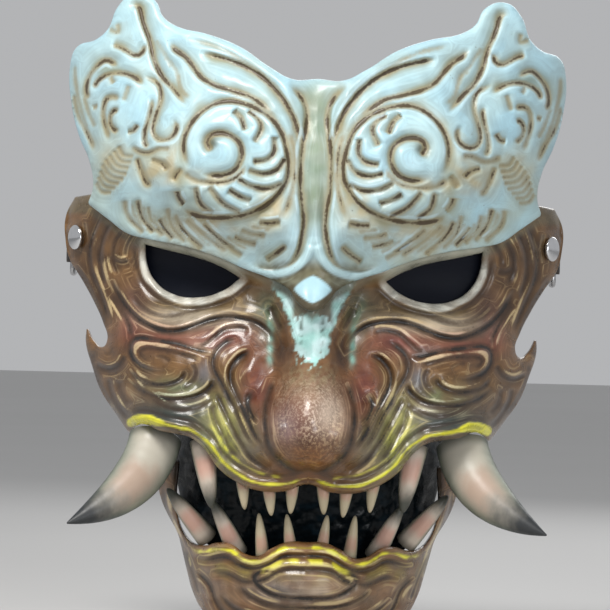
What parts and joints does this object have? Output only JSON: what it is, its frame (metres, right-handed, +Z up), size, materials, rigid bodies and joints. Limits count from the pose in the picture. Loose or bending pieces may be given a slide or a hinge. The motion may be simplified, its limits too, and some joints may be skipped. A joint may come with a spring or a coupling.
{
  "type": "face mask",
  "caption": "Demon face mask in painted cast resin with a scrolled brow crest, tusks, fangs, smoked eye lenses and swivelling strap tabs with rings.",
  "frame": {"origin": "on the plane of symmetry, level with the eyes, in the plane of the back rim, where the wearer's face or a wall hook holds the mask", "axes": "+Z up, the face looks along -Y, +Y points back out of the mask towards the wearer, +X is to the viewer's right"},
  "size_m": [0.2022, 0.1152, 0.2535],
  "materials": {
    "crest_paint": "pale ivory-blue paint with brown antique wash, satin varnish",
    "face_paint": "bronze-brown paint, gold dry-brushed ridges, gloss varnish",
    "liner_gloss": "blue-black gloss",
    "smoked_lens": "smoked, polished",
    "tusk_paint": "tan paint fading to blue-black tips, gloss",
    "tooth_paint": "olive-tan paint with dark edges, gloss",
    "chrome_rivet": "polished",
    "steel_wire": "nickel plated",
    "tab_leather": "black leather",
    "pad_foam": "black foam with cloth face"
  },
  "bodies": {
    "mask": {"face_shell": "face_paint", "brow_crest": "crest_paint", "jaw_shell": "face_paint", "mouth_liner": "liner_gloss", "eye_lens_left": "smoked_lens", "tusk_left": "tusk_paint", "upper_canine_left": "tooth_paint", "lower_fang_inner_left": "tooth_paint", "lower_fang_outer_left": "tooth_paint", "upper_tooth_left_1": "tooth_paint", "upper_tooth_left_2": "tooth_paint", "upper_tooth_left_3": "tooth_paint", "lower_tooth_left_1": "tooth_paint", "lower_tooth_left_2": "tooth_paint", "temple_rivet_left": "chrome_rivet", "rivet_washer_left": "steel_wire", "cheek_pad_left": "pad_foam", "eye_lens_right": "smoked_lens", "tusk_right": "tusk_paint", "upper_canine_right": "tooth_paint", "lower_fang_inner_right": "tooth_paint", "lower_fang_outer_right": "tooth_paint", "upper_tooth_right_1": "tooth_paint", "upper_tooth_right_2": "tooth_paint", "upper_tooth_right_3": "tooth_paint", "lower_tooth_right_1": "tooth_paint", "lower_tooth_right_2": "tooth_paint", "temple_rivet_right": "chrome_rivet", "rivet_washer_right": "steel_wire", "cheek_pad_right": "pad_foam", "forehead_pad": "pad_foam"},
    "left_tab": {"strap_tab_left": "tab_leather"},
    "right_tab": {"strap_tab_right": "tab_leather"},
    "left_ring": {"strap_ring_left": "steel_wire"},
    "right_ring": {"strap_ring_right": "steel_wire"}
  },
  "joints": [
    {"name": "right_tab_swivel", "type": "hinge", "parent": "mask", "child": "right_tab", "pos_m": [0.0955, -0.01086, 0.013], "axis": [0.8468, -0.5319, 0], "range_deg": [-20, 20]},
    {"name": "left_tab_swivel", "type": "hinge", "parent": "mask", "child": "left_tab", "pos_m": [-0.0955, -0.01086, 0.013], "axis": [-0.8468, -0.5319, 0], "range_deg": [-20, 20]},
    {"name": "right_ring_swing", "type": "hinge", "parent": "right_tab", "child": "right_ring", "pos_m": [0.09815, 0.00755, 0.013], "axis": [0, 0, 1], "range_deg": [-100, 100]},
    {"name": "left_ring_swing", "type": "hinge", "parent": "left_tab", "child": "left_ring", "pos_m": [-0.09815, 0.00755, 0.013], "axis": [0, 0, 1], "range_deg": [-100, 100]}
  ]
}
